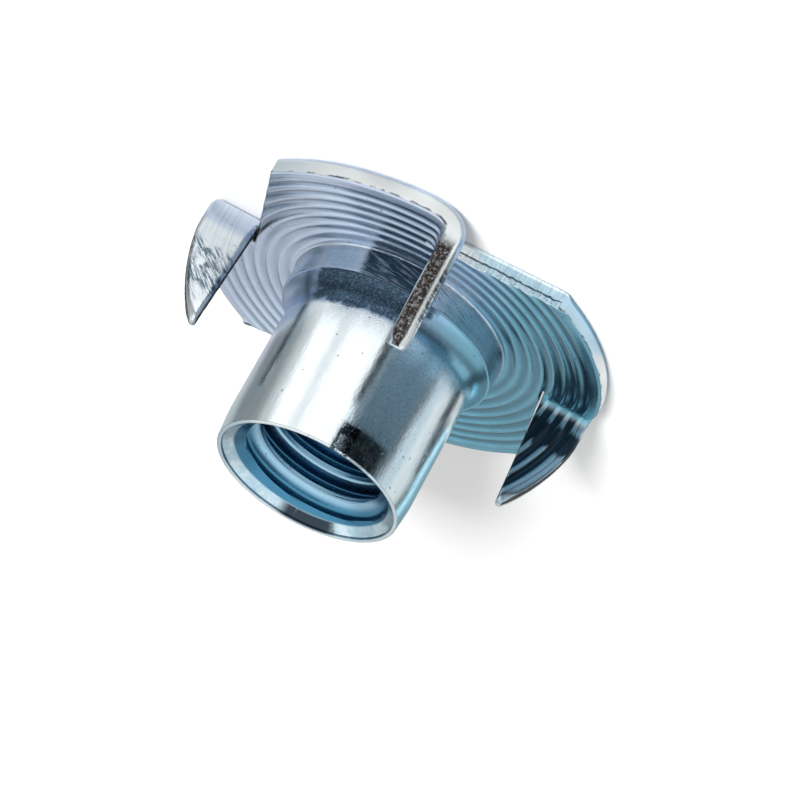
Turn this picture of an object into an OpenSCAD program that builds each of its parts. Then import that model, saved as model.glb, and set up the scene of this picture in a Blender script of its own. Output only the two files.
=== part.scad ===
// Four-pronged tee nut, pressed from one sheet.
// It stands on the outer face of its flange. The origin is the middle of that face,
// and +Z runs along the thread towards the mouth of the barrel.

/* [Flange] */
// Diameter of the flange
flange_d = 22; // [18:0.5:30]
// Thickness of the sheet
sheet_t = 1.1; // [0.8:0.05:1.6]
// Radius that blanking leaves on the outer edge of the rim
rim_r = 0.4; // [0.1:0.05:0.6]

/* [Pressed rings] */
// Room between the collar and the middle of the first groove
ring_margin = 0.5; // [0.3:0.05:1.5]
// Spacing of the grooves
ring_pitch = 0.66; // [0.4:0.02:1.2]
// Width of one groove
ring_w = 0.5; // [0.2:0.02:0.9]
// Depth of one groove
ring_depth = 0.06; // [0.02:0.01:0.15]

/* [Barrel] */
// Height from the flange's outer face to the mouth
height = 11.4; // [8:0.1:20]
// Outer diameter of the barrel
barrel_d = 10; // [8.6:0.1:13]
// How far the collar stands out from the barrel
collar_step = 0.7; // [0.2:0.05:1]
// Height of the collar above the flange
collar_rise = 1.5; // [0.5:0.1:2.5]
// Width of the sharp edge left around the top of the collar
collar_ledge = 0.1; // [0.05:0.01:0.15]
// Radius of the hollow neck between collar and barrel
neck_r = 1.8; // [1:0.1:3]
// Length of the slight taper at the mouth
taper_h = 1.5; // [0.5:0.1:3]
// How much the taper takes off the barrel's radius
taper_step = 0.12; // [0:0.02:0.4]

/* [Bore] */
// Diameter of the bore at the crests of the thread
bore_d = 6.65; // [5:0.05:8]
// Depth of the thread below its crests
thread_depth = 0.68; // [0.3:0.02:0.9]
// Thickness of the barrel's lip at the mouth
lip_w = 0.25; // [0.15:0.05:0.6]
// Depth of the funnel in the mouth
mouth_h = 0.5; // [0.3:0.1:2]
// How far the funnel's foot clears the roots of the thread
mouth_clear = 0.15; // [0:0.05:0.3]
// Radius of the rounded hole in the flange's outer face
entry_r = 1.5; // [0.5:0.1:2]

/* [Prongs] */
// Number of prongs
prong_count = 4; // [2:1:4]
// Width of a prong at its root
prong_w = 2.95; // [2:0.05:4]
// Slant of the sheared edge, in degrees
shear_slant = 3.2; // [0:0.1:12]
// Width of the slit that shearing leaves at the root
shear_gap = 0.1; // [0.05:0.01:0.3]
// Inside radius of the fold
fold_r = 0.6; // [0.3:0.05:1.2]
// Distance from the fold's start to the flange's middle line
fold_x = 0.2; // [0.1:0.05:2]
// How far the stretched sheet draws in at the fold's outer edge
fold_neck = 0.15; // [0.08:0.01:0.2]
// Radius of the tip
tip_r = 0.2; // [0.1:0.05:0.8]

/* [Hidden] */
$fn = 96;
zinc = [0.74, 0.82, 0.88];

// Where the sheet neither stretches nor shrinks in a fold, as a share of its thickness
fold_k = 0.25;
// Overlap of a cutting shape past what it cuts
past = 1;

flange_r = flange_d / 2;
barrel_r = barrel_d / 2;
bore_r = bore_d / 2;
collar_r = barrel_r + collar_step;
collar_top = sheet_t + collar_rise;
neck_h = sqrt(pow(neck_r, 2) - pow(neck_r - collar_step + collar_ledge, 2));
thread_r = bore_r + thread_depth;
lip_r = barrel_r - taper_step - lip_w;
mouth_r = thread_r + mouth_clear;

ring_first = collar_r + ring_margin;
ring_last = flange_r - ring_w;
ring_count = floor((ring_last - ring_first) / ring_pitch) + 1;
ring_cut_r = (pow(ring_w / 2, 2) + pow(ring_depth, 2)) / (2 * ring_depth);

// The sheared edge is a chord: this is its distance from the axis, square to the chord
shear_d = (flange_r - prong_w) * cos(shear_slant);
// The same chord's height at the start of the fold, and its rise over the fold
shear_y = flange_r - prong_w - fold_x * tan(shear_slant);
// Flat length of the sheet in a fold, to a whole micron so that fold and prong meet exactly
fold_flat = round((fold_r + fold_k * sheet_t) * PI / 2 * 1000) / 1000;
shear_rise = fold_flat * tan(shear_slant);
// Middle of the rounded tip, in the frame of the chord
tip_y = shear_d + shear_gap + tip_r;
tip_x = sqrt(pow(flange_r - tip_r, 2) - pow(tip_y, 2));
far = 2 * flange_r;

// A plain strip of sheet with the rolled edge of the rim
module sheet_edge(outer_r) {
    difference() {
        square([outer_r, sheet_t]);
        translate([outer_r - rim_r, 0])
            difference() {
                translate([0, -past]) square([rim_r + past, rim_r + past]);
                translate([0, rim_r]) circle(rim_r);
            }
    }
}

// The sheet cut along a radius, with its grooves
module sheet_section() {
    difference() {
        sheet_edge(flange_r);
        for (k = [0 : ring_count - 1])
            translate([ring_first + k * ring_pitch, sheet_t + ring_cut_r - ring_depth])
                circle(ring_cut_r);
    }
}

// Barrel, neck and collar as one half section
module barrel_section() {
    square([collar_r, collar_top]);
    translate([0, collar_top])
        difference() {
            square([collar_r, neck_h]);
            translate([barrel_r + neck_r, neck_h]) circle(neck_r);
        }
    polygon([
        [0, 0],
        [barrel_r, 0],
        [barrel_r, height - taper_h],
        [barrel_r - taper_step, height],
        [0, height]
    ]);
}

// The bore with its funnel at the mouth, and the rounded hole in the flange
module bore_section() {
    translate([0, -past]) square([bore_r, height + 2 * past]);
    polygon([
        [0, height - mouth_h - mouth_r + bore_r],
        [bore_r, height - mouth_h - mouth_r + bore_r],
        [mouth_r, height - mouth_h],
        [lip_r, height],
        [lip_r, height + past],
        [0, height + past]
    ]);
    difference() {
        translate([0, -past]) square([bore_r + entry_r, entry_r + past]);
        translate([bore_r + entry_r, entry_r]) circle(entry_r);
        translate([bore_r + entry_r, -past]) square([past, entry_r + past]);
    }
}

// One flap of the disc in plan, outside the sheared chord and past the fold
module flap_plan() {
    intersection() {
        translate([fold_flat - fold_x, 0]) square(far);
        rotate(shear_slant)
            union() {
                polygon([
                    [-far, shear_d + shear_gap],
                    [tip_x, shear_d + shear_gap],
                    [tip_x, tip_y],
                    [tip_x, tip_y] * far / norm([tip_x, tip_y]),
                    [-far, far]
                ]);
                translate([tip_x, tip_y]) circle(tip_r);
            }
    }
}

// The part of the disc that a prong takes away, fold included
module flap_gap() {
    translate([0, 0, -past])
        linear_extrude(sheet_t + 2 * past)
            intersection() {
                translate([-fold_x, 0]) square(far);
                rotate(shear_slant) translate([-far, shear_d]) square([2 * far, far]);
            }
}

// The quarter turn of sheet between the flange and a prong
module fold() {
    intersection() {
        translate([-fold_x, 0, sheet_t + fold_r])
            rotate([-90, 0, 0])
                rotate_extrude(angle = 90)
                    translate([fold_r + sheet_t, 0]) rotate(90) sheet_edge(flange_r - fold_neck);
        translate([-fold_x - past, 0, 0])
            rotate([90, 0, 90])
                linear_extrude(far)
                    polygon([
                        [shear_y + shear_gap, 0],
                        [far, 0],
                        [far, sheet_t + fold_r],
                        [shear_y + shear_gap + shear_rise, sheet_t + fold_r]
                    ]);
    }
}

// A flap of the same ringed disc, stood upright past the fold
module blade() {
    translate([fold_r + sheet_t - fold_x, 0, sheet_t + fold_r + fold_x - fold_flat])
        rotate([0, -90, 0])
            intersection() {
                rotate_extrude() sheet_section();
                translate([0, 0, -past]) linear_extrude(sheet_t + 2 * past) flap_plan();
            }
}

module tee_nut() {
    color(zinc) {
        difference() {
            rotate_extrude()
                difference() {
                    union() {
                        sheet_section();
                        barrel_section();
                    }
                    bore_section();
                }
            for (k = [0 : prong_count - 1])
                rotate(k * 360 / prong_count) flap_gap();
        }
        for (k = [0 : prong_count - 1])
            rotate(k * 360 / prong_count) {
                fold();
                blade();
            }
    }
}

tee_nut();
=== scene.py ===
"""Four-pronged tee nut in bright zinc, pressed from one sheet, standing on its flange.

The nut is one mesh. Its flange starts as a flat ringed blank, the prongs are sheared
along four chords and folded up, and barrel, bore and thread are spun on to it.
Lengths are in millimetres until the finished mesh is scaled to metres.
"""
import math
import bmesh
import bpy
from mathutils import Matrix, Vector, noise


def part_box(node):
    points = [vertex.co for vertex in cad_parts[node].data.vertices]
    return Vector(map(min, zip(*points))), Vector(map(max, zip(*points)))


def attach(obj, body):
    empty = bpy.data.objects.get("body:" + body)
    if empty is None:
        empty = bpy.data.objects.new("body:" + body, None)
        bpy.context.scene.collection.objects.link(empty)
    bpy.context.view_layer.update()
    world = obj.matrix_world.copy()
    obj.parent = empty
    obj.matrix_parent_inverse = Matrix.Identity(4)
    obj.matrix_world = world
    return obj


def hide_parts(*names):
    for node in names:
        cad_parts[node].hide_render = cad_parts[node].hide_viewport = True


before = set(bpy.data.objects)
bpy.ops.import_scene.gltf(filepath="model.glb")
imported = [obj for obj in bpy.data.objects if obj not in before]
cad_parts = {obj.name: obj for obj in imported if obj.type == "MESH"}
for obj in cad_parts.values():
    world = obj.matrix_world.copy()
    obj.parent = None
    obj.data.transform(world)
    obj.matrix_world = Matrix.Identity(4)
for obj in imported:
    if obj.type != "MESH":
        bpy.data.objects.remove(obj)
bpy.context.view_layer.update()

MM = 0.001
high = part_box("tee_nut")[1]

# Flange and its pressed rings
FOLD_X = 0.2
FLANGE_R = math.hypot(high.x / MM, FOLD_X)
SHEET_T = 1.1
RIM_R = 0.4
RING_PITCH = 0.66
RING_W = 0.5
RING_DEPTH = 0.06

# Barrel, collar and bore
HEIGHT = high.z / MM
BARREL_R = 5.0
COLLAR_R = 5.7
COLLAR_TOP = 2.6
COLLAR_LEDGE = 0.1
NECK_R = 1.8
TAPER_H = 1.5
TAPER_STEP = 0.12
BORE_R = 3.325
THREAD_R = 4.005
THREAD_PITCH = 1.25
LIP_W = 0.25
MOUTH_H = 0.5
MOUTH_R = THREAD_R + 0.15
ENTRY_R = 1.5

# Prongs
PRONGS = 4
PRONG_W = 2.95
SHEAR_SLANT = math.radians(3.2)
SHEAR_GAP = 0.1
FOLD_R = 0.6
FOLD_FLAT = (FOLD_R + 0.25 * SHEET_T) * math.pi / 2
FOLD_NECK = 0.15
TIP_R = 0.2
DIE_ROLL = 0.26

# How finely the mesh is spun, and its rows through the sheet, over a fold and beside a shear
STEPS = 192
THREAD_ROWS = 18
LEVEL_CUTS = 7
FOLD_ROWS = 12
SHEAR_ROWS = (0.0, SHEAR_GAP, -0.03, -0.09, SHEAR_GAP + 0.03, SHEAR_GAP + 0.09,
              SHEAR_GAP + 0.17, SHEAR_GAP + 0.28)

RING_FIRST = COLLAR_R + 0.5
RING_COUNT = 7
BLANK_R = COLLAR_R + 0.16
SHEAR_D = (FLANGE_R - PRONG_W) * math.cos(SHEAR_SLANT)
SHEAR_NORMAL = Vector((-math.sin(SHEAR_SLANT), math.cos(SHEAR_SLANT), 0))
SHEAR_ALONG = Vector((math.cos(SHEAR_SLANT), math.sin(SHEAR_SLANT), 0))
NECK_H = math.sqrt(NECK_R ** 2 - (NECK_R - COLLAR_R + BARREL_R + COLLAR_LEDGE) ** 2)

# Corner that each shear leaves on the rim, and how far its burr stands out
CORNER = SHEAR_NORMAL * SHEAR_D + SHEAR_ALONG * math.sqrt(FLANGE_R ** 2 - SHEAR_D ** 2)
BURRS = (0.17, 0.05, 0.08, 0.04)
# A dent beside one corner, painted as a dark spot of shade
DENT_SHADE = (6.99, 8.50)

# Middle of a prong's rounded tip, on the flat blank
TIP_MIDDLE = (SHEAR_NORMAL * (SHEAR_D + SHEAR_GAP + TIP_R)
              + SHEAR_ALONG * math.sqrt((FLANGE_R - TIP_R) ** 2 - (SHEAR_D + SHEAR_GAP + TIP_R) ** 2))


# ---------------------------------------------------------------- small helpers

def arc(middle_r, middle_z, radius, start, end, steps):
    """Points (r, z) along an arc, from one angle to another in degrees."""
    points = []
    for k in range(steps + 1):
        a = math.radians(start + (end - start) * k / steps)
        points.append((middle_r + radius * math.cos(a), middle_z + radius * math.sin(a)))
    return points


def line(start, end, steps):
    """Points (r, z) along a straight line, both ends included."""
    return [(start[0] + (end[0] - start[0]) * k / steps, start[1] + (end[1] - start[1]) * k / steps)
            for k in range(steps + 1)]


def spin_profile(bm, points, closed_turn=True, rise=0.0):
    """Spins a chain of (r, z) points once round the axis, climbing by rise over the turn."""
    verts = [bm.verts.new((r, 0, z)) for r, z in points]
    edges = [bm.edges.new(pair) for pair in zip(verts, verts[1:])]
    bmesh.ops.spin(bm, geom=verts + edges, cent=(0, 0, 0), axis=(0, 0, 1), dvec=(0, 0, rise / STEPS),
                   angle=math.tau, steps=STEPS, use_merge=closed_turn)


def cut(bm, faces, point, normal, clear_outer=False):
    """Cuts only the given faces along a plane."""
    geom = set(faces)
    for f in faces:
        geom.update(f.edges)
        geom.update(f.verts)
    bmesh.ops.bisect_plane(bm, geom=list(geom), dist=1e-5, plane_co=point, plane_no=normal,
                           clear_outer=clear_outer, clear_inner=False)


def smooth_step(a, b, x):
    t = min(1.0, max(0.0, (x - a) / (b - a)))
    return t * t * (3 - 2 * t)


def rounded(distance, radius):
    """How far a corner of that radius has dropped, this far in from its edge."""
    if distance >= radius:
        return 0.0
    return radius - math.sqrt(max(0.0, radius ** 2 - (radius - max(distance, 0.0)) ** 2))


# ---------------------------------------------------------------- the sheet

class Flap:
    """One prong's share of the blank: its turn, and where a point lies against its shear."""

    def __init__(self, number):
        self.turn = Matrix.Rotation(number * math.tau / PRONGS, 4, "Z")
        self.back = self.turn.inverted()
        self.number = number

    def local(self, point):
        return self.back @ Vector((point.x, point.y, 0))

    def past_shear(self, point):
        return self.local(point).dot(SHEAR_NORMAL) - SHEAR_D

    def holds(self, point, gap=0.0):
        """Whether a point of the flat blank lies past the shear and past the fold's start."""
        p = self.local(point)
        return p.x > -FOLD_X and p.dot(SHEAR_NORMAL) > SHEAR_D + gap


FLAPS = [Flap(k) for k in range(PRONGS)]


def blank_rows():
    """Radii of the blank's circles: close together over the rings and at the rim."""
    rows = []
    r = BLANK_R
    step = RING_PITCH / 9
    while r < FLANGE_R - RIM_R - 0.5 * step:
        rows.append(r)
        r += step
    for k in range(8):
        rows.append(FLANGE_R - RIM_R * (1 - math.cos(math.radians(90 - k * 90 / 7))))
    return rows


def tip_cuts(steps):
    """Planes that round the corner between rim and shear, in the frame of a flap."""
    start = math.atan2(-SHEAR_NORMAL.y, -SHEAR_NORMAL.x)
    end = math.atan2(TIP_MIDDLE.y, TIP_MIDDLE.x)
    planes = []
    for k in range(1, steps):
        a = start + (end - start) * k / steps
        normal = Vector((math.cos(a), math.sin(a), 0))
        planes.append((TIP_MIDDLE + normal * TIP_R, normal))
    return planes


def shear_and_mark(bm):
    """Cuts the slits and the fold lines into the flat blank."""
    for flap in FLAPS:
        turn = flap.turn

        def near(test):
            out = []
            for f in bm.faces:
                c = f.calc_center_median()
                if c.length > SHEAR_D - 0.7 and flap.local(c).y > 0 and test(flap.local(c), c):
                    out.append(f)
            return out

        across = (turn @ Vector((1, 0, 0)))
        cut(bm, near(lambda p, c: abs(p.x + FOLD_X) < 0.6), turn @ Vector((-FOLD_X, 0, 0)), across)
        along = turn @ SHEAR_NORMAL
        for offset in SHEAR_ROWS:
            cut(bm, near(lambda p, c: p.x > -FOLD_X and abs(flap.past_shear(c)) < 0.9),
                turn @ (SHEAR_NORMAL * (SHEAR_D + offset)), along)
        for k in range(1, FOLD_ROWS + 1):
            x = -FOLD_X + FOLD_FLAT * k / FOLD_ROWS
            cut(bm, near(lambda p, c: flap.holds(c, SHEAR_GAP) and abs(p.x - x) < 0.6),
                turn @ Vector((x, 0, 0)), across)
        for point, normal in tip_cuts(8):
            cut(bm, near(lambda p, c: flap.holds(c, SHEAR_GAP) and p.x > 4),
                turn @ point, turn @ normal, True)
        slit = near(lambda p, c: p.x > -FOLD_X and 0 < flap.past_shear(c) < SHEAR_GAP)
        bmesh.ops.delete(bm, geom=slit, context="FACES")


def ring_drop(r):
    """Depth of the pressed rings at a radius."""
    k = round((r - RING_FIRST) / RING_PITCH)
    if k < 0 or k >= RING_COUNT:
        return 0.0
    u = (r - RING_FIRST - k * RING_PITCH) / (RING_W / 2)
    return RING_DEPTH * (1 - u * u) if abs(u) < 1 else 0.0


def edge_drop(p, rim, cut_distance, tip, rim_r, cut_r):
    """How far one face has dropped at its rounded edges, and round a prong's tip."""
    rim_r += (0.42 - rim_r) * tip
    if tip > 0:
        rel = p - TIP_MIDDLE
        past_cut = -SHEAR_NORMAL.x * rel.y + SHEAR_NORMAL.y * rel.x
        past_rim = rel.x * TIP_MIDDLE.y - rel.y * TIP_MIDDLE.x
        if past_cut >= 0 and past_rim >= 0:
            share = past_cut / (past_cut + past_rim / TIP_MIDDLE.length + 1e-9)
            return rounded(TIP_R - rel.length, cut_r + (rim_r - cut_r) * share)
    return max(rounded(rim, rim_r), rounded(cut_distance, cut_r))


def draw_in(p):
    """How far the rim draws in beside and over a fold."""
    s = p.x + FOLD_X
    across = smooth_step(8.4, FLANGE_R, p.y)
    return FOLD_NECK * across * smooth_step(-0.7, 0.5, s) * (1 - smooth_step(0.9, 2.6, s))


def shape_sheet(bm, level, blank, wall):
    """Rolls the rim, presses the rings, then folds the prongs."""
    for v in bm.verts:
        w = v[level]
        flat = Vector((v.co.x, v.co.y, 0))
        r = flat.length
        rim = FLANGE_R - r
        v[blank] = Vector((flat.x, flat.y, 1.0))
        flap = None
        shear = None
        cut_distance = 9.0
        inward = 0.0
        for f in FLAPS:
            p = f.local(flat)
            if p.y <= 0:
                continue
            if p.x < -FOLD_X - 1e-4:
                if p.x > -1.2:
                    flat = flat - f.turn @ Vector((0, draw_in(p), 0))
                continue
            d = p.dot(SHEAR_NORMAL) - SHEAR_D
            if d > SHEAR_GAP * 0.5:
                flap = f
                cut_distance = d - SHEAR_GAP
                shear, inward = f, 1.0
            elif d > -1:
                cut_distance = -d
                shear, inward = f, -1.0
        on_cut = cut_distance < 1e-3
        tip = 0.0
        if flap:
            p = flap.local(flat)
            tip = 1 - smooth_step(0.1, 0.5, (p - TIP_MIDDLE).length)
            rim_r = RIM_R + (0.27 - RIM_R) * smooth_step(0.2, 1.6, p.x + FOLD_X)
            bottom = edge_drop(p, rim, cut_distance, tip, rim_r, DIE_ROLL)
            top = SHEET_T - ring_drop(r) - edge_drop(p, rim, cut_distance, tip, 0.09, 0.06)
        else:
            bottom = max(rounded(rim, RIM_R), rounded(cut_distance, 0.07))
            top = SHEET_T - ring_drop(r) - max(rounded(rim, 0.09), rounded(cut_distance, 0.06))
        z = bottom + (top - bottom) * w
        v[wall] = Vector((1.0 if on_cut or rim < 4e-3 else 0.0, w, 1.0 if flap else 0.0))
        if on_cut and 0.05 < w < 0.95 and rim > 0.25:
            rough = noise.noise(Vector((flat.x * 3.1, flat.y * 3.1, z * 4)))
            rough += 0.6 * noise.noise(flat * 9 + Vector((0, 0, z * 9)))
            torn = smooth_step(0.45, 0.62, w + 0.35 * noise.noise(flat * 2.2)) if not flap else 1.0
            flat = flat + shear.turn @ SHEAR_NORMAL * inward * (0.012 + torn * (0.03 + 0.03 * rough))
        if flap is None:
            if shear and rim < 0.5:
                burr = shear.turn @ CORNER
                push = BURRS[shear.number] * (1 - smooth_step(0.0, 0.45, (flat - burr).length))
                flat = flat + shear.turn @ SHEAR_ALONG * push
                z += 0.5 * push * w
            v.co = Vector((flat.x, flat.y, z))
            continue
        p = flap.local(flat)
        p.y -= draw_in(p)
        s = p.x + FOLD_X
        rho = FOLD_R + SHEET_T - z
        if s < FOLD_FLAT:
            a = s / FOLD_FLAT * math.pi / 2
            folded = Vector((-FOLD_X + rho * math.sin(a), p.y, SHEET_T + FOLD_R - rho * math.cos(a)))
        else:
            folded = Vector((-FOLD_X + rho, p.y, SHEET_T + FOLD_R + s - FOLD_FLAT))
        v.co = flap.turn @ folded


def pressed_sheet(bm):
    """The flange with its four prongs, open only round the hole where the barrel joins."""
    spin_profile(bm, [(r, 0) for r in blank_rows()])
    shear_and_mark(bm)
    raised = bmesh.ops.extrude_face_region(bm, geom=bm.faces[:], use_keep_orig=True)["geom"]
    upper = [part for part in raised if isinstance(part, bmesh.types.BMVert)]
    bmesh.ops.translate(bm, vec=(0, 0, SHEET_T), verts=upper)
    inner = [f for f in bm.faces
             if all(v.co.xy.length < BLANK_R + 0.01 for v in f.verts)]
    bmesh.ops.delete(bm, geom=inner, context="FACES")
    upright = [e for e in bm.edges if abs(e.verts[0].co.z - e.verts[1].co.z) > SHEET_T * 0.9]
    bmesh.ops.subdivide_edges(bm, edges=upright, cuts=LEVEL_CUTS, use_grid_fill=True)
    level = bm.verts.layers.float.new("level")
    blank = bm.verts.layers.float_vector.new("blank")
    wall = bm.verts.layers.float_vector.new("wall")
    for v in bm.verts:
        v[level] = v.co.z / SHEET_T
    shape_sheet(bm, level, blank, wall)


# ---------------------------------------------------------------- barrel and bore

def barrel_outline():
    """From the top of the flange up the outside, over the lip and down into the mouth."""
    lip_r = BARREL_R - TAPER_STEP
    inner_lip_r = lip_r - LIP_W
    crease = 0.12
    points = [(BLANK_R, SHEET_T)]
    points += arc(COLLAR_R + crease, SHEET_T + crease, crease, 270, 180, 4)
    points += line((COLLAR_R, SHEET_T + 0.25), (COLLAR_R, COLLAR_TOP - 0.12), 5)
    points += arc(COLLAR_R - 0.05, COLLAR_TOP - 0.05, 0.05, 0, 90, 4)
    neck_middle = (BARREL_R + NECK_R, COLLAR_TOP + NECK_H)
    start = math.degrees(math.atan2(-NECK_H, COLLAR_R - COLLAR_LEDGE - neck_middle[0])) + 360
    points += arc(*neck_middle, NECK_R, start, 180, 14)
    points += line((BARREL_R, COLLAR_TOP + NECK_H + 0.3), (BARREL_R, HEIGHT - TAPER_H - 0.25), 16)
    for k in range(9):
        t = k / 8
        points.append((BARREL_R - TAPER_STEP * t ** 1.3, HEIGHT - TAPER_H + (TAPER_H - 0.1) * t))
    points += arc(lip_r - 0.08, HEIGHT - 0.08, 0.08, 10, 90, 4)
    points += arc(inner_lip_r + 0.08, HEIGHT - 0.08, 0.08, 90, 170, 4)
    points += line((inner_lip_r - 0.01, HEIGHT - 0.16), (MOUTH_R + 0.03, HEIGHT - MOUTH_H + 0.03), 8)
    return points


def entry_radius(z):
    return BORE_R + ENTRY_R - math.sqrt(max(0.0, ENTRY_R ** 2 - (ENTRY_R - z) ** 2))


def face_outline():
    """From the bore's rounded entry out over the flat face of the flange."""
    bottom = 0.2
    start = math.degrees(math.asin((ENTRY_R - bottom) / ENTRY_R))
    points = []
    for k in range(13):
        a = math.radians(start + (90 - start) * k / 12)
        points.append((BORE_R + ENTRY_R - ENTRY_R * math.cos(a), ENTRY_R - ENTRY_R * math.sin(a)))
    points += line((BORE_R + ENTRY_R + 0.2, 0), (BLANK_R, 0), 4)
    return points


def thread_radius(u):
    """Radius of the thread at a share u of its pitch: a rounded crest with a seam, and a rounded root."""
    away = abs(u - 0.5) * 2
    swell = smooth_step(0.12, 0.86, away)
    seam = math.exp(-((u - 0.5) / 0.045) ** 2)
    return BORE_R + 0.04 * seam + (THREAD_R - BORE_R) * swell


def thread_tube():
    """The threaded bore: a profile spun up its own helix and trimmed level at both ends."""
    bm = bmesh.new()
    bottom, top = 0.28, HEIGHT - MOUTH_H
    z = bottom - THREAD_PITCH - 0.2
    points = []
    row = 0
    while z < top + 0.3:
        points.append((thread_radius(row % THREAD_ROWS / THREAD_ROWS), z))
        z += THREAD_PITCH / THREAD_ROWS
        row += 1
    spin_profile(bm, points, False, THREAD_PITCH)
    bmesh.ops.remove_doubles(bm, verts=bm.verts, dist=1e-3)
    for height, outward in ((bottom, -1), (top, 1)):
        bmesh.ops.bisect_plane(bm, geom=bm.verts[:] + bm.edges[:] + bm.faces[:], dist=1e-4,
                               plane_co=(0, 0, height), plane_no=(0, 0, outward), clear_outer=True)
    for v in bm.verts:
        r = v.co.xy.length
        wanted = max(r, MOUTH_R - (top - v.co.z))
        if v.co.z < ENTRY_R:
            wanted = max(wanted, entry_radius(v.co.z))
        v.co.xy *= wanted / r
    return bm


def join_bore(bm):
    """Adds the threaded bore and closes the two narrow bands at its ends."""
    thread = thread_tube()
    piece = bpy.data.meshes.new("thread")
    thread.to_mesh(piece)
    thread.free()
    bm.from_mesh(piece)
    bpy.data.meshes.remove(piece)
    for z_low, z_high in ((0.1, 0.35), (HEIGHT - MOUTH_H - 0.05, HEIGHT - MOUTH_H + 0.06)):
        ring = [e for e in bm.edges if e.is_boundary
                and all(z_low < v.co.z < z_high and v.co.xy.length < BARREL_R for v in e.verts)]
        bmesh.ops.bridge_loops(bm, edges=ring)


def tee_nut():
    bm = bmesh.new()
    pressed_sheet(bm)
    spin_profile(bm, face_outline())
    spin_profile(bm, barrel_outline())
    bmesh.ops.remove_doubles(bm, verts=bm.verts, dist=2e-4)
    join_bore(bm)
    bmesh.ops.recalc_face_normals(bm, faces=bm.faces)
    bmesh.ops.scale(bm, vec=(MM, MM, MM), verts=bm.verts)
    mesh = bpy.data.meshes.new("tee_nut_pressed")
    bm.to_mesh(mesh)
    bm.free()
    for polygon in mesh.polygons:
        polygon.use_smooth = True
    mesh.set_sharp_from_angle(angle=math.radians(38))
    piece = bpy.data.objects.new("tee_nut_pressed", mesh)
    bpy.context.scene.collection.objects.link(piece)
    return piece


nut = tee_nut()

# ---------------------------------------------------------------- shader maths

class Amount:
    """A number that varies over the surface. Arithmetic on it adds Math nodes."""

    def __init__(self, shade, socket):
        self.shade = shade
        self.socket = socket

    def math(self, operation, *values):
        return Amount(self.shade, self.shade.node("ShaderNodeMath", {"operation": operation}, values))

    def __add__(self, other):
        return self.math("ADD", self, other)

    def __radd__(self, other):
        return self.math("ADD", other, self)

    def __sub__(self, other):
        return self.math("SUBTRACT", self, other)

    def __rsub__(self, other):
        return self.math("SUBTRACT", other, self)

    def __mul__(self, other):
        return self.math("MULTIPLY", self, other)

    def __rmul__(self, other):
        return self.math("MULTIPLY", other, self)

    def __truediv__(self, other):
        return self.math("DIVIDE", self, other)

    def __pow__(self, other):
        return self.math("POWER", self, other)

    def __neg__(self):
        return self.math("MULTIPLY", self, -1.0)

    def at_most(self, limit):
        return self.math("MINIMUM", self, limit)

    def at_least(self, limit):
        return self.math("MAXIMUM", self, limit)

    def step(self, start, end):
        """0 before start, 1 past end, smooth between; start may be the larger."""
        if start > end:
            return 1 - self.step(end, start)
        return self.shade.amount("ShaderNodeMapRange", {"interpolation_type": "SMOOTHSTEP"},
                                 {"Value": self, "From Min": start, "From Max": end})

    def band(self, start, end, soft):
        """1 between start and end, fading over soft on each side."""
        return self.step(start - soft, start) * self.step(end + soft, end)


class Shade:
    """Makes the nodes of one material or world."""

    def __init__(self, owner):
        owner.use_nodes = True
        self.tree = owner.node_tree
        self.tree.nodes.clear()

    def node(self, kind, settings, values, output=0):
        made = self.tree.nodes.new(kind)
        for name, value in settings.items():
            setattr(made, name, value)
        pairs = values.items() if isinstance(values, dict) else enumerate(values)
        for name, value in pairs:
            value = getattr(value, "socket", value)
            if isinstance(value, bpy.types.NodeSocket):
                self.tree.links.new(value, made.inputs[name])
            else:
                made.inputs[name].default_value = value
        return made.outputs[output]

    def amount(self, kind, settings, values, output=0):
        return Amount(self, self.node(kind, settings, values, output))

    def mix(self, share, first, second):
        """Mixes two colours."""
        return self.node("ShaderNodeMix", {"data_type": "RGBA"}, {0: share, 6: first, 7: second}, 2)

    def vector(self, x, y, z):
        return self.node("ShaderNodeCombineXYZ", {}, (x, y, z))

    def split(self, vector):
        made = self.node("ShaderNodeSeparateXYZ", {}, (vector,)).node
        return [Amount(self, out) for out in made.outputs]

    def place_in_mm(self):
        coordinates = self.node("ShaderNodeTexCoord", {}, {}, "Object")
        return self.node("ShaderNodeVectorMath", {"operation": "SCALE"},
                         {"Vector": coordinates, "Scale": 1 / MM})

    def attribute(self, name):
        return self.split(self.node("ShaderNodeAttribute", {"attribute_name": name}, {}, "Vector"))

    def noise(self, vector, scale, detail=2.0, rough=0.5):
        return self.amount("ShaderNodeTexNoise", {"noise_dimensions": "3D"},
                           {"Vector": vector, "Scale": scale, "Detail": detail, "Roughness": rough})

    def side(self, x, y):
        """Angle round the axis from the -Y side, in degrees, positive towards +X."""
        return x.math("ARCTAN2", x, -y) * (180 / math.pi)

    def finish(self, socket, kind="ShaderNodeOutputMaterial"):
        out = self.tree.nodes.new(kind)
        self.tree.links.new(socket, out.inputs["Surface"])


def colour(r, g, b):
    return (r, g, b, 1.0)


# ---------------------------------------------------------------- zinc

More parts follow.
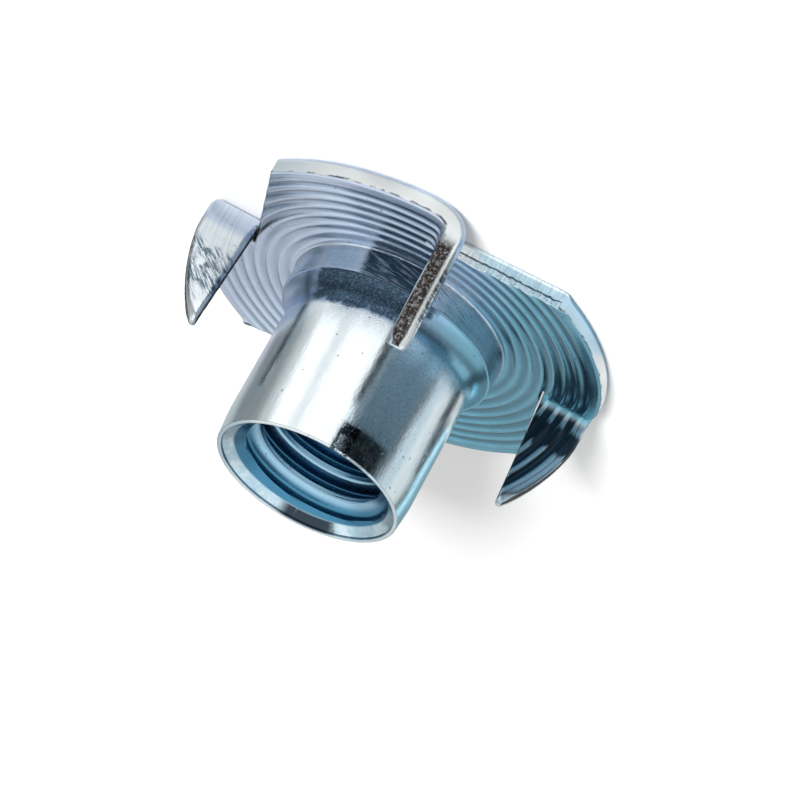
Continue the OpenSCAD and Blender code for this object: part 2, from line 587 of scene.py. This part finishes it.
class Places:
    """Where things are on the nut, and the patterns that its colour, gloss and relief share."""

    def __init__(self, shade):
        self.shade = shade
        self.place = shade.place_in_mm()
        self.x, self.y, self.z = shade.split(self.place)
        self.radius = (self.x * self.x + self.y * self.y) ** 0.5
        self.side = shade.side(self.x, self.y)
        self.blank_x, self.blank_y, self.on_sheet = shade.attribute("blank")
        self.blank_r = (self.blank_x * self.blank_x + self.blank_y * self.blank_y) ** 0.5
        self.on_cut, self.level, on_prong = shade.attribute("wall")
        self.prong = on_prong.step(0.4, 0.6)
        self.upper = self.level.step(0.4, 0.6)
        self.find_patterns()
        self.find_turned_parts()
        self.find_sheet_parts()
        self.find_edges()

    def find_patterns(self):
        shade, x, y, z, radius = self.shade, self.x, self.y, self.z, self.radius
        turn = y.math("ARCTAN2", y, x)
        blank_turn = self.blank_y.math("ARCTAN2", self.blank_y, self.blank_x)
        around = shade.vector(x / radius, y / radius, z * 0.05)
        self.cloud = shade.noise(self.place, 0.33, 3.0)
        self.mottle = shade.noise(self.place, 1.3, 4.0, 0.6)
        self.grain = shade.noise(self.place, 9.0, 3.0, 0.7)
        self.speck = shade.noise(self.place, 3.4, 2.0).step(0.70, 0.76)
        self.streaks = shade.noise(around, 7.0, 4.0, 0.62)
        self.fine_streaks = shade.noise(around, 34.0, 3.0, 0.6)
        self.hoops = shade.noise(shade.vector(radius * 5, z * 5, turn * 0.5), 1.6, 4.0, 0.65)
        self.ring_marks = shade.noise(shade.vector(self.blank_r * 4, blank_turn * 1.3, 0.0), 1.8, 3.0, 0.6)
        self.tealish = (x * -1 + 0.2 * y + 3.0 * (self.cloud - 0.5)).step(-2.0, 4.5)
        self.wander = 26 * (self.mottle - 0.5)

    def find_turned_parts(self):
        z, radius, side, wander = self.z, self.radius, self.side, self.wander
        self.bore = radius.step(4.72, 4.62) * z.step(0.2, 1.0)
        self.thread = radius.step(4.22, 4.12) * z.step(1.2, 1.8)
        self.funnel = self.bore * (1 - self.thread) * z.step(10.6, 10.9)
        self.collar = radius.step(5.5, 5.66) * z.band(1.14, 2.55, 0.04) * (1 - self.on_sheet)
        self.neck = z.band(2.62, 4.1, 0.25) * (1 - self.collar) * (1 - self.bore)
        self.barrel = z.step(3.2, 4.0) * (1 - self.bore) * radius.step(5.6, 5.3)
        self.taper = self.barrel * z.step(9.85, 9.95)
        around_collar = self.shade.vector(radius * 5, (z + side * 0.02) * 6, side * 0.05)
        self.scores = self.shade.noise(around_collar, 2.2, 3.0, 0.7)
        # A dark patch of painted reflection on one side of the collar, broken up by the scores
        self.dark_collar_reflection = (self.collar * (side + wander * 0.3).band(-8, 24, 5)
                            * (0.55 + 0.45 * self.scores.step(0.62, 0.50)))
        # A dark patch of painted reflection low in the neck, on one side
        self.dark_neck_reflection = (self.neck * (z + 0.05 * wander).step(4.2, 3.9)
                          * (side + wander).band(-12, 48, 7))

    def find_sheet_parts(self):
        z, blank_r = self.z, self.blank_r
        phase = (blank_r - RING_FIRST) / RING_PITCH * math.tau
        ringed = self.on_sheet * blank_r.step(5.9, 6.1) * blank_r.step(10.75, 10.6)
        # Where the ring grooves are painted with shade, uneven along the rings
        self.groove_shade = ((0.5 + 0.5 * phase.math("COSINE", phase)) * ringed
                       * (0.35 + 0.9 * self.ring_marks) * self.upper)
        self.inside = self.on_sheet * self.prong * z.step(1.15, 1.5) * self.upper
        self.outside = self.on_sheet * self.prong * z.step(1.75, 2.2) * (1 - self.upper)

    def find_edges(self):
        self.torn_noise = self.shade.noise(self.place, 6.5, 4.0, 0.75)
        self.torn_line = self.level + 0.35 * (self.shade.noise(self.place, 2.2, 3.0) - 0.5)
        self.folded = self.z.step(1.5, 2.3)
        self.rim = self.on_cut * self.blank_r.step(10.80, 10.86)
        prong_rim = (self.rim * self.prong * self.folded
                     * (self.level + 0.25 * (self.torn_noise - 0.5)).step(0.08, 0.22))
        self.prong_cut = self.on_cut * self.prong * (1 - self.rim) + prong_rim
        self.lobe_cut = self.on_cut * (1 - self.prong) * (1 - self.rim)


def film_silver_and_reflections(p):
    """Blue film, lavender on one side and teal on the other, and silver on the barrel with a violet patch
    and a blue band of painted reflection.
    """
    mix, x, z = p.shade.mix, p.x, p.z
    film = mix(p.tealish, colour(0.60, 0.68, 0.84), colour(0.15, 0.40, 0.52))
    pale_film = mix(p.tealish, colour(0.66, 0.84, 0.93), colour(0.24, 0.55, 0.68))
    film = mix(p.mottle.step(0.45, 0.75) * 0.4, film, pale_film)
    silver = mix(p.tealish * 0.7, colour(0.85, 0.91, 0.93), colour(0.72, 0.85, 0.88))
    silver = mix(x.step(2.9, 4.6) * 0.7, silver, colour(0.42, 0.58, 0.68))
    # Painted reflection: a violet patch low on the +X flank of the barrel
    silver = mix(x.step(4.35, 4.95) * z.step(9.0, 6.0) * 0.45, silver, colour(0.52, 0.50, 0.84))
    body = mix(p.barrel, film, silver)
    # Painted reflection: a blue band on one side of the barrel
    return mix(p.barrel * p.side.band(-46, -8, 6) * 0.55, body, colour(0.46, 0.66, 0.80))


def collar_marks_and_reflection(p, body):
    """Brushed and scored collar with a dark patch of painted reflection, and the film in the hollow neck.
    """
    mix = p.shade.mix
    brushed = mix(p.streaks.step(0.35, 0.7), colour(0.55, 0.66, 0.78), colour(0.80, 0.86, 0.92))
    body = mix(p.collar, body, brushed)
    # Painted reflection: the dark patch on the collar
    body = mix(p.dark_collar_reflection, body, colour(0.015, 0.035, 0.055))
    scored = (p.collar + p.neck) * p.side.band(-34, -12, 4) * p.scores.step(0.57, 0.62)
    body = mix(scored, body, colour(0.02, 0.03, 0.04))
    neck_film = mix(p.tealish, colour(0.30, 0.42, 0.62), colour(0.22, 0.52, 0.66))
    return mix(p.neck * (1 - p.z.step(3.9, 4.3)), body, neck_film)


def barrel_grain_and_reflections(p, body):
    """Grain down the barrel, and dark patches of painted reflection on the taper and in the neck."""
    mix = p.shade.mix
    grained = p.barrel * p.side.band(-44, -8, 5)
    body = mix(grained * p.grain.step(0.60, 0.70) * 0.8, body, colour(0.93, 0.97, 1.0))
    body = mix(grained * p.grain.step(0.45, 0.36) * 0.5, body, colour(0.30, 0.42, 0.50))
    # Painted reflection: a dark patch on the taper, with a grainy edge
    taper_reflection = p.side.band(-14, -5, 1.5) + 0.55 * p.side.band(-30, -15, 3)
    taper_reflection = p.taper * taper_reflection * (p.grain + p.mottle - 0.5).step(0.66, 0.50)
    body = mix(taper_reflection, body, colour(0.012, 0.016, 0.02))
    # Painted reflection: the dark patch low in the neck
    neck_reflection_mask = p.dark_neck_reflection * (0.75 + 0.25 * p.grain.step(0.62, 0.45))
    return mix(neck_reflection_mask, body, colour(0.008, 0.026, 0.045))


def bore_colour_and_painted_light(p, body):
    """Thread with painted shade in its roots and painted light on its crests, and a pale funnel with a
    dark patch of painted reflection.
    """
    mix = p.shade.mix
    # Painted shade in the thread's roots and painted light on its crests
    crest = p.radius.step(3.90, 3.45) * (0.7 + 0.8 * (p.hoops - 0.3)) * p.z.step(10.45, 10.25)
    thread_light_and_shade = mix(crest.at_most(1.0), colour(0.045, 0.21, 0.35), colour(0.36, 0.60, 0.76))
    body = mix(p.thread, body, thread_light_and_shade)
    pale = mix(p.mottle.step(0.35, 0.65), colour(0.42, 0.60, 0.69), colour(0.66, 0.80, 0.86))
    body = mix(p.funnel, body, pale)
    # Painted reflection: a dark patch in the funnel
    funnel_reflection = (p.side + p.wander * 0.4).band(-178, -156, 8) + p.side.step(166, 176)
    return mix(p.funnel * funnel_reflection.at_most(1.0), body, colour(0.012, 0.014, 0.016))


def ring_groove_shade(p, body):
    """Painted shade in the ring grooves, darkest in three stretches."""
    mix, side, blank_r = p.shade.mix, p.side, p.blank_r
    # Three stretches where the painted shade in the grooves is darker
    deeper_shade = side.band(3, 24, 8) * blank_r.step(6.6, 8.2) + p.x.step(6.4, 7.9) * p.y.step(0.5, -2)
    deeper_shade = (deeper_shade + side.band(-66, -40, 10) * blank_r.step(8.0, 9.0) * 0.6).at_most(1.0)
    lavender_shade = mix(deeper_shade, colour(0.16, 0.28, 0.42), colour(0.02, 0.08, 0.12))
    shade_in_grooves = mix(p.tealish, lavender_shade, colour(0.015, 0.08, 0.12))
    return mix(p.groove_shade * (0.45 + 0.25 * p.tealish + 0.4 * deeper_shade), body, shade_in_grooves)


def prong_colour_shade_and_reflection(p, body):
    """Prongs: dark inside, with painted shade in the ring grooves and above the fold; worked bright and
    streaked outside, with dark patches of painted reflection.
    """
    mix, x, y, z = p.shade.mix, p.x, p.y, p.z
    uneven = p.ring_marks - 0.5
    body = mix(p.inside * 0.85, body, colour(0.56, 0.69, 0.77))
    # Painted shade in the ring grooves inside the prongs, then a black band of painted shade just above
    # the fold
    body = mix(p.inside * (p.groove_shade * 1.9 + 0.5 * uneven).step(0.25, 0.7), body, colour(0.012, 0.02, 0.03))
    body = mix(p.inside * (z + 1.3 * uneven).band(2.2, 3.3, 0.35), body, colour(0.01, 0.013, 0.016))
    body = mix(p.outside * 0.9, body, colour(0.86, 0.91, 0.92))
    drawn_out = p.shade.vector(x * 1.1, y * 1.1, (z + 0.8 * x + 0.8 * y) * 4.5)
    drag = p.shade.noise(drawn_out, 1.7, 4.0, 0.65)
    # Dark streaked patches of painted reflection partway up the outside of the prongs
    slate_reflection = (z + 2.4 * (p.mottle - 0.5)).band(3.6, 5.6, 0.7) * drag.step(0.40, 0.56)
    slate_reflection = slate_reflection * (p.cloud + 0.3 * p.mottle).step(0.52, 0.60)
    return mix(p.outside * slate_reflection * 0.92, body, colour(0.05, 0.10, 0.14))


def wear_finish(p, body):
    """Darker marks along the rings, the barrel and the collar, and specks."""
    marks = (0.30 * (p.ring_marks - 0.5) * p.on_sheet + 0.16 * (p.streaks - 0.5) * p.barrel
             + 0.30 * (p.hoops - 0.5) * p.collar)
    body = p.shade.mix((0.5 - marks).step(0.38, 0.72) * 0.6, body, colour(0.14, 0.23, 0.32))
    return p.shade.mix(p.speck * 0.5, body, colour(0.08, 0.11, 0.15))


def edges_and_dent_shade(p, body):
    """The blanked rim, the torn dark cuts of the prongs, the burnished cuts of the flange, and a dark spot
    of painted shade for a dent.
    """
    mix, x, y = p.shade.mix, p.x, p.y
    body = mix(p.rim, body, colour(0.80, 0.84, 0.84))
    body = mix(p.rim * x.step(5.8, 7.8) * 0.55, body, colour(0.34, 0.47, 0.52))
    rim_line = p.rim * (1 - p.folded) * p.torn_line.step(0.84, 0.95) * p.mottle.step(0.42, 0.55)
    body = mix(rim_line, body, colour(0.10, 0.12, 0.13))
    # Painted shade: a dark spot where a dent beside one corner would be
    dent_shade_spot = ((x - DENT_SHADE[0]) * (x - DENT_SHADE[0]) + (y - DENT_SHADE[1]) * (y - DENT_SHADE[1])).step(0.13, 0.03)
    body = mix(dent_shade_spot * 0.9, body, colour(0.03, 0.05, 0.07))
    torn = mix(p.torn_noise.step(0.46, 0.74), colour(0.022, 0.017, 0.016), colour(0.40, 0.40, 0.40))
    body = mix(p.prong_cut, body, torn)
    crack = (p.torn_line.band(0.60, 0.66, 0.04)
             + 0.9 * p.torn_noise.step(0.54, 0.66) * p.torn_line.step(0.62, 0.75))
    down_the_cut = p.shade.vector(p.blank_x * 7, p.blank_y * 7, p.level * 0.6)
    drawn = p.shade.noise(down_the_cut, 1.5, 3.0, 0.6).step(0.38, 0.60)
    burnish = mix(drawn, colour(0.66, 0.74, 0.77), colour(0.90, 0.94, 0.94))
    burnish = mix(crack.at_most(1.0), burnish, colour(0.10, 0.13, 0.15))
    return mix(p.lobe_cut, body, burnish)


def zinc_roughness(p):
    rough = 0.17 + 0.16 * (p.mottle - 0.4) + 0.10 * (p.fine_streaks - 0.5) * p.barrel
    rough = rough + 0.10 * p.collar + 0.05 * p.on_sheet + 0.08 * p.neck + 0.05 * p.thread
    rough = rough + 0.05 * p.dark_neck_reflection + 0.16 * p.dark_collar_reflection
    rough = rough + 0.12 * p.rim + 0.42 * p.prong_cut + 0.16 * p.lobe_cut
    rough = rough + 0.14 * p.inside * p.z.step(2.4, 1.8)
    return rough.at_least(0.08)


def zinc_relief(p):
    """Height of draw marks, ring marks, specks and torn cuts, in millimetres."""
    height = (0.005 * (p.fine_streaks - 0.5) + 0.008 * (p.streaks - 0.5)) * p.barrel
    height = height + 0.016 * (p.hoops - 0.5) * (p.collar + p.funnel)
    height = height + 0.010 * (p.ring_marks - 0.5) * p.on_sheet
    height = height + 0.0030 * (p.grain - 0.5) + 0.004 * (p.mottle - 0.5) - 0.008 * p.speck
    height = height + 0.10 * p.torn_noise * p.prong_cut
    return height + 0.05 * p.torn_noise * p.lobe_cut * p.torn_line.step(0.58, 0.7)


def zinc_material():
    """Bright zinc under a blue film, from the broad colours down to the cut edges."""
    material = bpy.data.materials.new("bright_blue_zinc")
    shade = Shade(material)
    p = Places(shade)
    body = film_silver_and_reflections(p)
    for finish in (collar_marks_and_reflection, barrel_grain_and_reflections, bore_colour_and_painted_light, ring_groove_shade,
                   prong_colour_shade_and_reflection, wear_finish, edges_and_dent_shade):
        body = finish(p, body)
    bump = shade.node("ShaderNodeBump", {}, {"Strength": 1.0, "Distance": MM, "Height": zinc_relief(p)})
    shade.finish(shade.node("ShaderNodeBsdfPrincipled", {}, {
        "Base Color": body, "Metallic": 1 - 0.35 * p.prong_cut,
        "Roughness": zinc_roughness(p), "Normal": bump}))
    return material


nut.data.materials.append(zinc_material())

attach(nut, "root")
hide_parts("tee_nut")

# ---------------------------------------------------------------- floor, light, camera

def flat_square(name, size, height):
    bm = bmesh.new()
    bmesh.ops.create_grid(bm, x_segments=1, y_segments=1, size=size)
    bmesh.ops.translate(bm, vec=(0, 0, height), verts=bm.verts)
    mesh = bpy.data.meshes.new(name)
    bm.to_mesh(mesh)
    bm.free()
    piece = bpy.data.objects.new(name, mesh)
    bpy.context.scene.collection.objects.link(piece)
    return piece


def pale_floor():
    floor = flat_square("floor", 0.8, 0.0)
    material = bpy.data.materials.new("pale_floor")
    shade = Shade(material)
    shade.finish(shade.node("ShaderNodeBsdfDiffuse", {}, {"Color": colour(0.66, 0.66, 0.66)}))
    floor.data.materials.append(material)


BOARD_LIGHT = 0.72
# Strips of the board: start, end, softness (degrees from the -Y side) and how much each adds
STRIPS = (
    (-9, 64, 5, 0.75),
    (35, 43, 4, -0.45),
    (-61, -11, 5, -0.42),
    (-69, -64, 2, -0.45),
    (-106, -74, 4, 0.25),
    (-121, -114, 2, -0.5),
    (-130, -125, 2, 0.9),
    (-178, -140, 6, -0.25),
    (84, 120, 8, -0.35),
)


def reflector():
    """A board on the floor that only shows in the metal: bright and dark strips round the nut."""
    board = flat_square("reflector", 0.4, 0.0002)
    board.visible_camera = False
    board.visible_diffuse = False
    board.visible_shadow = False
    board.visible_transmission = False
    material = bpy.data.materials.new("reflector_strips")
    shade = Shade(material)
    place = shade.place_in_mm()
    x, y, z = shade.split(place)
    radius = (x * x + y * y) ** 0.5
    side = shade.side(x, y)
    light = BOARD_LIGHT
    for start, end, soft, gain in STRIPS:
        light = light + gain * side.band(start, end, soft)
    # Dimmer further out, which darkens the taper at the mouth
    light = light - radius.step(25.5, 27) * (0.95 * side.band(-34, -7, 3) + 0.35 * side.band(-60, -36, 4))
    light = light.at_least(0.02)
    # Cloudy close to the nut, which shows in the rim
    near = radius.step(14.2, 13.0)
    light = light * (1 - near) + near * (0.45 + 0.9 * shade.noise(place, 0.35, 2.0))
    hue = shade.mix(side.band(-61, -17, 6), colour(1, 1, 1), colour(0.62, 0.84, 1.0))
    hue = shade.mix(side.step(-106, -128) * (1 - near), hue, colour(0.52, 0.82, 0.95))
    shade.finish(shade.node("ShaderNodeEmission", {}, {"Color": hue, "Strength": light}))
    board.data.materials.append(material)


def studio_sky():
    """Soft light from above, dimmer near the horizon. Seen directly it is plain white."""
    world = bpy.data.worlds.new("studio")
    bpy.context.scene.world = world
    shade = Shade(world)
    up = shade.split(shade.node("ShaderNodeTexCoord", {}, {}, "Generated"))[2]
    sky = 0.80 + 0.45 * up.step(0.60, 0.8) - 0.45 * up.step(0.34, 0.22)
    seen = shade.amount("ShaderNodeLightPath", {}, {}, "Is Camera Ray")
    glow = shade.node("ShaderNodeBackground", {},
                      {"Color": colour(1, 1, 1), "Strength": sky * (1 - seen) + seen})
    shade.finish(glow, "ShaderNodeOutputWorld")


pale_floor()
reflector()
studio_sky()

key_data = bpy.data.lights.new("key", "AREA")
key_data.energy = 4.4
key_data.size = 0.16
key = bpy.data.objects.new("key", key_data)
bpy.context.scene.collection.objects.link(key)
key_place = Vector((0.14, -0.40, 0.26))
key.visible_glossy = False
key.matrix_world = Matrix.Translation(key_place) @ key_place.to_track_quat("Z", "Y").to_matrix().to_4x4()

camera_data = bpy.data.cameras.new("camera")
camera = bpy.data.objects.new("camera", camera_data)
bpy.context.scene.collection.objects.link(camera)
camera_data.lens = 171
camera_data.sensor_width = 36
camera_data.clip_start = 0.005
camera_data.clip_end = 5
azimuth, elevation, roll = math.radians(-1.824), math.radians(26.629), math.radians(-151.239)
back = Vector((math.sin(azimuth) * math.cos(elevation),
               -math.cos(azimuth) * math.cos(elevation),
               math.sin(elevation)))
camera.matrix_world = (Matrix.Translation((-0.007359, -0.166778, 0.088725))
                       @ back.to_track_quat("Z", "Y").to_matrix().to_4x4() @ Matrix.Rotation(roll, 4, "Z"))
bpy.context.scene.camera = camera
bpy.context.scene.view_settings.view_transform = "Standard"
